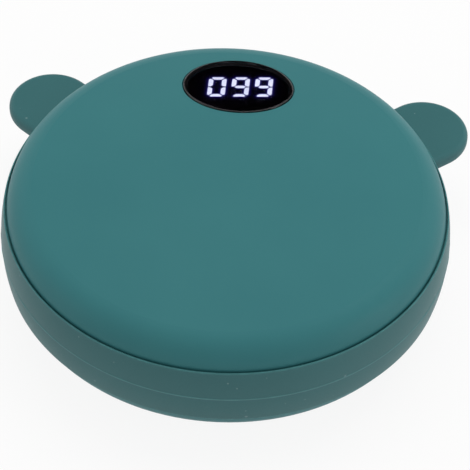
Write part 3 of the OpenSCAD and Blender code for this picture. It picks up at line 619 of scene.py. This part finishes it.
# Half section of an ear from its middle over the rim: reach, height and the way each point faces
def earSection():
    flat, half = ear["radius"] - ear["edge"], ear["thickness"] / 2
    section = [(flat * share, half, 0, 1) for share in ear["flatShares"]]
    for lean in quarterTurn(ear["rimSteps"]):
        section.append((flat + ear["edge"] * math.sin(lean), half - ear["edge"] * (1 - math.cos(lean)),
                        math.sin(lean), math.cos(lean)))
    return section + [(reach, -height, out, -up) for reach, height, out, up in reversed(section)]


# One side of an ear, from inside the band over the blend at its root to where the round end starts
def earSide(section, hand):
    blend, rows = ear["rootBlend"], []
    for share in (-ear["buried"] / blend, *ear["rootShares"]):
        grow = blend - math.sqrt(blend ** 2 - (blend * (1 - min(max(share, ear["rootStart"]), 1))) ** 2)
        rows.append([(hand * (reach + out * grow), bandFace(reach, height) + share * blend,
                      height + up * grow) for reach, height, out, up in section])
    for share in ear["armShares"]:
        rows.append([(hand * reach, (1 - share) * (bandFace(reach, height) + blend) + share * ear["centre"],
                      height) for reach, height, out, up in section])
    return rows


def makeEar(side):
    section = earSection()
    rows = earSide(section, -1)
    for step in range(1, ear["arcSteps"]):
        lean = math.pi * step / ear["arcSteps"]
        rows.append([(-reach * math.cos(lean), ear["centre"] + reach * math.sin(lean), height)
                     for reach, height, out, up in section])
    rows += earSide(section, 1)[::-1]
    size = len(section)
    faces = [(r * size + i, r * size + i + 1, (r + 1) * size + i + 1, (r + 1) * size + i)
             for r in range(len(rows) - 1) for i in range(size - 1)]
    points = turned([p for row in rows for p in row], side * ear["angle"])
    return cleanUp(meshPiece("earTool", points, faces, materials["siliconeRubber"]), fill=True)


# A cutter that follows an outline out through the band and opens softly at its outside
def makeCutter(outline, soften, angle):
    count = len(outline)
    facing = []
    for i in range(count):
        along = outline[(i + 1) % count] - outline[i - 1]
        facing.append(Vector((along.y, -along.x)).normalized())
    stations = [(portWindows["cutFrom"], 0), (-soften, 0)]
    for step in range(1, portWindows["softSteps"] + 1):
        lean = math.pi / 2 * step / portWindows["softTurn"]
        stations.append((-soften * (1 - math.sin(lean)), soften * (1 - math.cos(lean))))
    stations.append((portWindows["cutTo"], soften * portWindows["flare"]))
    points = []
    for stand, grow in stations:
        for place, out in zip(outline, facing):
            x, z = place + out * grow
            points.append((x, bandFace(x, z) + stand, z))
    faces = ringFaces(len(stations), count) + capFaces(len(stations), count)
    return cleanUp(meshPiece("cutTool", turned(points, angle), faces, materials["siliconeRubber"]))


# Marks how far each point of the mould line stands out, and lays a paler shade there, a painted highlight
# along its ridge
def markMouldHighlight(piece):
    attribute = piece.data.attributes.new("mouldHighlight", "FLOAT", "POINT")
    for point, mark in zip(piece.data.vertices, attribute.data):
        x, y, z = point.co / mm
        height = z - pebble["midHeight"]
        near = abs(height) < band["mouldHighlightReach"]
        share = (math.hypot(x, y) - bandRadius(height)) / pebble["mouldRise"] if near else 0
        mark.value = share if 0 < share < band["mouldHighlightLimit"] else 0
    rubber = materials["siliconeRubber"]
    mask = addNode(rubber.node_tree, "ShaderNodeAttribute", attribute_name="mouldHighlight")
    layShade(rubber, mask, "Fac", band["mouldHighlightShade"])


gripBand = makeBandRing()
for side in (-1, 1):
    carve(gripBand, makeEar(side), "UNION")
for key in ("large", "small"):
    opening = portWindows[key]
    outline = boxOutline(opening["x"], opening["width"], opening["height"], opening["corner"])
    carve(gripBand, makeCutter(outline, portWindows["soften"], 0), "DIFFERENCE")
roundEnd = keyHole["height"] / 2 * nearlyRound
keyOutline = boxOutline(0, keyHole["width"], keyHole["height"], roundEnd, keyHole["cornerSteps"])
carve(gripBand, makeCutter(keyOutline, keyHole["soften"], keyHole["angle"]), "DIFFERENCE")
markMouldHighlight(cleanUp(gripBand, band["sharpAngle"]))
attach(gripBand, "housing")
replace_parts(gripBand, "silicone_band")
print("band built:", len(gripBand.data.vertices), "points")


# The display's lens, glow mask and digits are placed in the window's own frame
display = {
    "reach": 28.25, "lensWidth": 23.8, "lensLength": 18.5, "lensTop": 0.05, "lensBase": -1.3,
    "roundSide": 0.75, "roundEnd": 0.2, "roundHeight": 0.32, "rimSteps": 10, "footRound": 0.12,
    "toeShare": 0.3, "steps": 200, "topRings": 12, "sharpAngle": 18,
}
windowTilt = math.asin(display["reach"] / pebble["crownRadius"])


def onWindow(x, y, z):
    reach = pebble["crownRadius"] + z
    return (x, y * math.cos(windowTilt) + reach * math.sin(windowTilt),
            pebble["midHeight"] + crownCentre + reach * math.cos(windowTilt) - y * math.sin(windowTilt))


def flatOval(halfWidth, halfLength, steps):
    turns = [math.tau * i / steps for i in range(steps)]
    return [(halfWidth * math.cos(t), halfLength * math.sin(t)) for t in turns]


# The lens is rounded wider at its sides than at its front and back
def makeLens():
    wide, long, steps = display["lensWidth"] / 2, display["lensLength"] / 2, display["steps"]
    top, base, foot = display["lensTop"], display["lensBase"], display["footRound"]
    toe = foot * display["toeShare"]
    rings = [(wide - foot, long - foot, base), (wide - toe, long - toe, base + toe),
             (wide, long, base + foot)]
    for lean in quarterTurn(display["rimSteps"]):
        share = 1 - math.cos(lean)
        rings.append((wide - display["roundSide"] * share, long - display["roundEnd"] * share,
                      top - display["roundHeight"] * (1 - math.sin(lean))))
    wide, long = rings[-1][:2]
    for step in range(1, display["topRings"]):
        share = 1 - step / display["topRings"]
        rings.append((wide * share, long * share, top))
    points = [onWindow(x, y, z) for w, l, z in rings for x, y in flatOval(w, l, steps)]
    points.append(onWindow(0, 0, top))
    last = (len(rings) - 1) * steps
    faces = ringFaces(len(rings), steps)
    faces += [(last + i, last + (i + 1) % steps, len(points) - 1) for i in range(steps)]
    faces.append(tuple(range(steps)))
    return cleanUp(meshPiece("displayLens", points, faces, makeLensGlass()), display["sharpAngle"])


lensLook = {
    "tint": (128, 124, 132), "darkerShare": 0.94, "index": 1.49, "bump": 0.05, "depth": 0.01,
    "wipe": {"Scale": 260, "Stretch": 0.3, "Pits": 0.0, "Rough Low": 0.015, "Rough High": 0.05},
}


# Smoked clear plastic with faint wipe marks in its gloss
def makeLensGlass():
    clear = {"Transmission Weight": 1.0, "IOR": lensLook["index"]}
    material, tree, shader = newMaterial("smokedLens", clear)
    darker = [c * lensLook["darkerShare"] for c in lensLook["tint"]]
    addTone(tree, shader, [lensLook["tint"], darker], {"Patch Scale": 120.0, "Fleck Share": 0.0})
    addGrain(tree, shader, lensLook["wipe"], lensLook["bump"], lensLook["depth"])
    return material


digits = {
    "shown": (0, 9, 9), "width": 3.85, "height": 7.0, "pitch": 5.05, "upright": 1.0, "level": 0.9, "lean": 7,
    "gap": 0.16, "side": 0.4, "back": 0.5, "turn": 6.8, "top": -1.345, "thickness": 1.2, "bevel": 0.06,
    "corner": 0.55, "levelShare": 0.5, "uprightShare": 0.6, "tip": 0.05, "barTip": 0.1, "foot": 0.08,
    "cornerSteps": 5,
}
litOf = ["abcdef", "bc", "abged", "abgcd", "fgbc", "afgcd", "afgecd", "abc", "abcdefg", "abcfgd"]


# Outline of one segment with its outer corner rounded: a on top, b to f round clockwise, g in the middle
def segmentOutline(letter):
    w, h, g = digits["width"] / 2, digits["height"] / 2, digits["gap"]
    thick, flat, tip = digits["upright"], digits["level"], digits["tip"]
    if letter in "ad":
        s, soft = (1 if letter == "a" else -1), digits["corner"] * digits["levelShare"]
        corners = [(-w + g, s * h, soft), (w - g, s * h, soft),
                   (w - thick - g, s * (h - flat), tip), (-w + thick + g, s * (h - flat), tip)]
    elif letter == "g":
        rise, soft = flat / 2, digits["barTip"]
        corners = [(-w + thick / 2 + g, 0, tip), (-w + thick + g, rise, soft), (w - thick - g, rise, soft),
                   (w - thick / 2 - g, 0, tip), (w - thick - g, -rise, soft), (-w + thick + g, -rise, soft)]
    else:
        x, y = (1 if letter in "bc" else -1), (1 if letter in "bf" else -1)
        corners = [(x * w, y * (h - g), digits["corner"] * digits["uprightShare"]),
                   (x * (w - thick), y * (h - flat - g), tip), (x * (w - thick), y * (flat / 2 + g), tip),
                   (x * (w - thick / 2), y * g, tip), (x * w, y * g, digits["foot"])]
    outline = roundedOutline(corners, digits["cornerSteps"])
    slope = math.tan(math.radians(digits["lean"]))
    return [Vector((p.x + p.y * slope, p.y)) for p in outline]


# Outlines of the lit or unlit segments of the whole reading
def segmentOutlines(lit):
    found = []
    spin, shift = Matrix.Rotation(math.radians(digits["turn"]), 2), Vector((digits["side"], digits["back"]))
    for place, digit in enumerate(digits["shown"]):
        across = (place - (len(digits["shown"]) - 1) / 2) * digits["pitch"]
        for letter in "abcdefg":
            if (letter in litOf[digit]) == lit:
                found.append([spin @ (p + Vector((across, 0))) + shift for p in segmentOutline(letter)])
    return found


def makeSegments(name, outlines, material):
    points, faces = [], []
    top, bevel = digits["top"], digits["bevel"]
    for outline in outlines:
        middle = sum(outline, Vector((0, 0))) / len(outline)
        start, count = len(points), len(outline)
        for inset, z in ((0, top - digits["thickness"]), (0, top - bevel), (bevel, top)):
            for p in outline:
                inwards = (middle - p).normalized() * inset
                points.append(onWindow(p.x + inwards.x, p.y + inwards.y, z))
        faces += [tuple(start + i for i in face) for face in ringFaces(3, count) + capFaces(3, count)]
    return cleanUp(meshPiece(name, points, faces, material))


segmentLooks = {
    "segmentLight": {"strength": 4.9, "light": [(236, 247, 255), (228, 240, 255)],
                     "body": [(235, 235, 240), (225, 225, 235)]},
    # The unlit segments' faint violet emission is a painted glow; they give no light of their own
    "segmentDark": {"strength": 0.6, "light": [(20, 18, 70), (14, 12, 52)],
                    "body": [(34, 34, 44), (28, 28, 38)]},
}


# Lit or unlit plastic of the segments, whose light drifts a little between two shades; the faint glow of the
# unlit ones is painted light
def makeSegmentGlow(name, look):
    lit = {"Emission Strength": look["strength"], "Specular IOR Level": 0.3}
    material, tree, shader = newMaterial(name, lit)
    addTone(tree, shader, look["light"], {"Patch Scale": 420.0, "Fleck Share": 0.1}, "Emission Color")
    addTone(tree, shader, look["body"], {"Patch Scale": 900.0})
    addGrain(tree, shader, {"Scale": 6000.0, "Rough Low": 0.4, "Rough High": 0.6})
    return material


glow = {
    "halfWidth": 10.7, "halfLength": 8.05, "top": -1.372, "base": -1.396, "rings": 52, "steps": 240,
    "near": 0.2, "nearShare": 0.6, "far": 1.0, "farShare": 0.012, "shade": (104, 92, 255), "strength": 1.6,
    # The film is dark, and its reddish tint is a painted reflection that shows in the lens
    "filmAndReflectionShades": [(30, 19, 23), (16, 13, 17)],
}


farAway, tiny = 1e3, 1e-12  # a distance beyond all others, and a length that stands in for none


# Distance from many points to the nearest edge or inside of the outlines
def distanceTo(outlines, points):
    nearest = np.full(len(points), farAway)
    for outline in outlines:
        ring = np.array([tuple(p) for p in outline])
        inside = np.zeros(len(points), bool)
        for a, b in zip(ring, np.roll(ring, -1, axis=0)):
            edge = b - a
            share = np.clip(((points - a) @ edge) / max(edge @ edge, tiny), 0, 1)
            nearest = np.minimum(nearest, np.linalg.norm(points - (a + share[:, None] * edge), axis=1))
            crosses = (a[1] > points[:, 1]) != (b[1] > points[:, 1])
            reach = a[0] + (points[:, 1] - a[1]) * edge[0] / (edge[1] or tiny)
            inside ^= crosses & (points[:, 0] < reach)
        nearest[inside] = 0
    return nearest


# A dark mask under the lens, on which the lit segments throw their violet halo
def makeGlowMask(litOutlines):
    count, flat = glow["steps"], [(0.0, 0.0)]
    for ring in range(1, glow["rings"] + 1):
        share = ring / glow["rings"]
        flat += flatOval(glow["halfWidth"] * share, glow["halfLength"] * share, count)
    points = [onWindow(x, y, glow["top"]) for x, y in flat]
    points += [onWindow(x, y, glow["base"]) for x, y in flat[-count:]]
    faces = [(0, 1 + i, 1 + (i + 1) % count) for i in range(count)]
    faces += [tuple(1 + i for i in face) for face in ringFaces(glow["rings"] + 1, count)]
    faces.append(tuple(range(len(points) - count, len(points))))
    mask = meshPiece("glowMask", points, faces, makeGlowFilm())
    away = distanceTo(litOutlines, np.array(flat))
    light = glow["nearShare"] * np.exp(-away / glow["near"]) + glow["farShare"] * np.exp(-away / glow["far"])
    attribute = mask.data.attributes.new("halo", "FLOAT", "POINT")
    attribute.data.foreach_set("value", np.concatenate([light, np.zeros(count)]))
    return cleanUp(mask)


def makeGlowFilm():
    lit = {"Emission Strength": glow["strength"], "Specular IOR Level": 0.1}
    material, tree, shader = newMaterial("glowFilm", lit)
    addTone(tree, shader, glow["filmAndReflectionShades"], {"Patch Scale": 120.0})
    halo = addNode(tree, "ShaderNodeAttribute", attribute_name="halo")
    light = addNode(tree, "ShaderNodeMix", {"A": (0, 0, 0, 1), "B": linearOf(glow["shade"])},
                    data_type="RGBA")
    joinAll(tree, (halo, "Fac", light, "Factor"), (light, "Result", shader, "Emission Color"))
    addGrain(tree, shader, {"Scale": 5000.0, "Rough Low": 0.6, "Rough High": 0.8})
    return material


lens = makeLens()
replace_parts(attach(lens, "housing"), "display_window")
segmentMaterials = {name: makeSegmentGlow(name, look) for name, look in segmentLooks.items()}
litOutlines = segmentOutlines(True)
litDigits = makeSegments("litDigits", litOutlines, segmentMaterials["segmentLight"])
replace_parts(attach(litDigits, "housing"), "lit_segments")
darkDigits = makeSegments("darkDigits", segmentOutlines(False), segmentMaterials["segmentDark"])
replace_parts(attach(darkDigits, "housing"), "unlit_segments")
glowMask = makeGlowMask(litOutlines)
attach(glowMask, "housing")
print("display built")


# The power key on the back edge; each row of its dish is how far in from the edge and how far sunk
powerKey = {
    "width": 7.6, "height": 3.6, "front": 47.8, "round": 0.5, "roundSteps": 6, "cornerSteps": 16,
    "dish": ((0.62, 0.03), (0.8, 0.1), (1.0, 0.15), (1.3, 0.18)), "angle": -27.048,
    "flangeWidth": 11.0, "flangeHeight": 5.0, "flangeCorner": 0.9, "flangeIn": 41.191, "flangeOut": 41.991,
}


# Built outwards from the flange that keeps it in the housing, over the stem, to the dished face
def makePowerKey():
    w, h, front, soft = powerKey["width"], powerKey["height"], powerKey["front"], powerKey["round"]
    steps = powerKey["cornerSteps"]
    flange = boxOutline(0, powerKey["flangeWidth"], powerKey["flangeHeight"], powerKey["flangeCorner"], steps)
    rings = [[(p.x, y, p.y) for p in flange] for y in (powerKey["flangeIn"], powerKey["flangeOut"])]
    stations = [(0, powerKey["flangeOut"])]
    for lean in quarterTurn(powerKey["roundSteps"]):
        stations.append((soft * (1 - math.cos(lean)), front - soft * (1 - math.sin(lean))))
    stations += [(inset, front - sink) for inset, sink in powerKey["dish"]]
    for inset, y in stations:
        narrow = boxOutline(0, w - 2 * inset, h - 2 * inset, (h / 2 - inset) * nearlyRound, steps)
        rings.append([(p.x, y, p.y) for p in narrow])
    points = turned([p for ring in rings for p in ring], powerKey["angle"])
    faces = ringFaces(len(rings), len(flange)) + capFaces(len(rings), len(flange))
    return cleanUp(meshPiece("powerKey", points, faces, materials["buttonPlastic"]))


key = makePowerKey()
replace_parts(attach(key, "button"), "power_button")

# Contact strips of both ports; a face is a height over the middle and the way it looks, up or down
pinPitch, pinCount = 0.5, 12
contacts = {
    "largePortContacts": {
        "at": -9.5, "places": (-3.5, -1.0, 1.0, 3.5), "width": 1.0, "start": 31.2, "end": 39.6,
        "faces": ((0.55, -1),), "thick": 0.12, "bow": 0.32, "shortPlaces": (), "shorter": 0,
    },
    "smallPortContacts": {
        "at": 8.0, "places": [pinPitch * (i - (pinCount - 1) / 2) for i in range(pinCount)],
        "width": 0.26, "start": 38.2, "end": 43.2,
        "faces": ((-0.355, -1), (0.355, 1)), "thick": 0.04, "bow": 0, "shortPlaces": (1, 10), "shorter": 0.4,
    },
}
strip = {"steps": 12, "bowStretch": 1.4, "sharpAngle": 25}


# One thin strip along Y, bowed away from the tongue towards its tip
def addStrip(points, faces, port, x, end, height, way):
    first, rings = len(points), strip["steps"] + 1
    for step in range(rings):
        share = step / strip["steps"]
        y = port["start"] + (end - port["start"]) * share
        bent = min(max(1 - (1 - share) * strip["bowStretch"], 0), 1)
        out = height + way * port["bow"] * math.sin(math.pi * bent)
        for dx, dz in ((-1, 0), (1, 0), (1, 1), (-1, 1)):
            z = pebble["midHeight"] + out + way * dz * port["thick"]
            points.append((x + dx * port["width"] / 2, y, z))
    faces += [tuple(first + i for i in face) for face in ringFaces(rings, 4) + capFaces(rings, 4)]


def makeContacts(name, port):
    points, faces = [], []
    for i, place in enumerate(port["places"]):
        end = port["end"] - (port["shorter"] if i in port["shortPlaces"] else 0)
        for height, way in port["faces"]:
            addStrip(points, faces, port, port["at"] + place, end, height, way)
    return cleanUp(meshPiece(name, points, faces, materials["contactGold"]), strip["sharpAngle"])


for name, port in contacts.items():
    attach(makeContacts(name, port), "housing")
print("key and contacts built")


# Floor, light and camera
studio = {
    "floorSize": 4.0, "floorShades": [(247, 247, 247), (245, 245, 245)],
    "floorLift": 0.9, "skyLift": 1.0, "worldLight": 0.42,
    "card": {"at": (0.0, 0.647, 0.625), "width": 1.0, "height": 0.73, "shades": [(8, 8, 8), (12, 12, 12)]},
    "lamps": {
        "keySoftbox": {"at": (0.05, 0.35, 0.75), "size": (0.9, 0.6), "power": 4.25, "shade": (255, 253, 251),
                       "inGloss": False},
        "leftStrip": {"at": (-0.7, -0.2, 0.14), "size": (0.25, 0.5), "power": 0.4, "shade": (255, 255, 255),
                      "inGloss": True},
        "rightStrip": {"at": (0.7, -0.2, 0.14), "size": (0.25, 0.5), "power": 0.85, "shade": (255, 255, 255),
                       "inGloss": True},
    },
}
white = (1, 1, 1, 1)
corners = ((-1, -1), (1, -1), (1, 1), (-1, 1))


# Shows plain white in place of a surface or the sky to the camera, in gloss and through glass
def showWhite(tree, plain, bright, end, share):
    path = addNode(tree, "ShaderNodeLightPath")
    gloss, seen = [addNode(tree, "ShaderNodeMath", operation="MAXIMUM") for _ in range(2)]
    part = addNode(tree, "ShaderNodeMath", {1: share}, operation="MULTIPLY")
    mix = addNode(tree, "ShaderNodeMixShader")
    joinAll(tree, (path, "Is Camera Ray", gloss, 0), (path, "Is Glossy Ray", gloss, 1),
            (gloss, "Value", seen, 0), (path, "Is Transmission Ray", seen, 1),
            (seen, "Value", part, 0), (part, "Value", mix, "Fac"),
            (plain, 0, mix, 1), (bright, 0, mix, 2), (mix, "Shader", end, "Surface"))


def makeFloor():
    material, tree, shader = newMaterial("paleFloor", {"Roughness": 0.9, "Specular IOR Level": 0.1})
    addTone(tree, shader, studio["floorShades"], {"Patch Scale": 6.0, "Fleck Scale": 300.0})
    lit = addNode(tree, "ShaderNodeEmission", {"Color": white, "Strength": 1.0})
    showWhite(tree, shader, lit, tree.nodes["Material Output"], studio["floorLift"])
    half = studio["floorSize"] / 2 / mm
    floor = meshPiece("floor", [(x * half, y * half, 0) for x, y in corners], [(0, 1, 2, 3)], material)


# A black card behind the object, which only its gloss sees, so that the lens stays dark as photographed
def makeDarkCard():
    card = studio["card"]
    material, tree, shader = newMaterial("darkCard", {"Specular IOR Level": 0.0})
    addTone(tree, shader, card["shades"], {"Patch Scale": 20.0})
    middle = Vector(card["at"])
    facing = (-middle).to_track_quat("Z", "Y")
    flat = [Vector((x * card["width"] / 2, y * card["height"] / 2, 0)) for x, y in corners]
    piece = meshPiece("darkCard", [(facing @ p + middle) / mm for p in flat], [(0, 1, 2, 3)], material)
    for kind in ("camera", "diffuse", "shadow", "volume_scatter"):
        setattr(piece, "visible_" + kind, False)


def makeWorld():
    world = bpy.data.worlds.new("studio")
    bpy.context.scene.world = world
    world.use_nodes = True
    tree = world.node_tree
    soft = tree.nodes["Background"]
    soft.inputs["Color"].default_value = white
    soft.inputs["Strength"].default_value = studio["worldLight"]
    bright = addNode(tree, "ShaderNodeBackground", {"Color": white, "Strength": 1.0})
    showWhite(tree, soft, bright, tree.nodes["World Output"], studio["skyLift"])


def makeLamp(name, lamp):
    light = bpy.data.lights.new(name, "AREA")
    light.shape = "RECTANGLE"
    light.size, light.size_y = lamp["size"]
    light.energy = lamp["power"]
    light.color = linearOf(lamp["shade"])[:3]
    holder = bpy.data.objects.new(name, light)
    holder.location = lamp["at"]
    holder.visible_glossy = lamp["inGloss"]
    aim = Vector((0, 0, pebble["midHeight"] * mm)) - holder.location
    holder.rotation_euler = aim.to_track_quat("-Z", "Y").to_euler()
    bpy.context.scene.collection.objects.link(holder)


viewpoint = {"lens": 187.99, "turn": 2.78, "elevation": 46.487, "roll": -2.432,
             "offset": (0.0019382, -0.0016402, 0.5197862), "sensor": 36, "clip": (0.01, 20)}


def makeCamera():
    camera = bpy.data.objects.new("camera", bpy.data.cameras.new("camera"))
    camera.data.lens = viewpoint["lens"]
    camera.data.sensor_width = viewpoint["sensor"]
    camera.data.clip_start, camera.data.clip_end = viewpoint["clip"]
    spin = (Matrix.Rotation(math.radians(viewpoint["turn"]), 3, "Z")
            @ Matrix.Rotation(math.radians(90 - viewpoint["elevation"]), 3, "X")
            @ Matrix.Rotation(math.radians(-viewpoint["roll"]), 3, "Z"))
    place = spin @ Vector(viewpoint["offset"]) + Vector((0, 0, pebble["midHeight"] * mm))
    camera.matrix_world = Matrix.Translation(place) @ spin.to_4x4()
    bpy.context.scene.collection.objects.link(camera)
    bpy.context.scene.camera = camera


makeFloor()
makeDarkCard()
makeWorld()
for name, lamp in studio["lamps"].items():
    makeLamp(name, lamp)
makeCamera()
bpy.context.scene.view_settings.view_transform = "Standard"
print("studio set up")
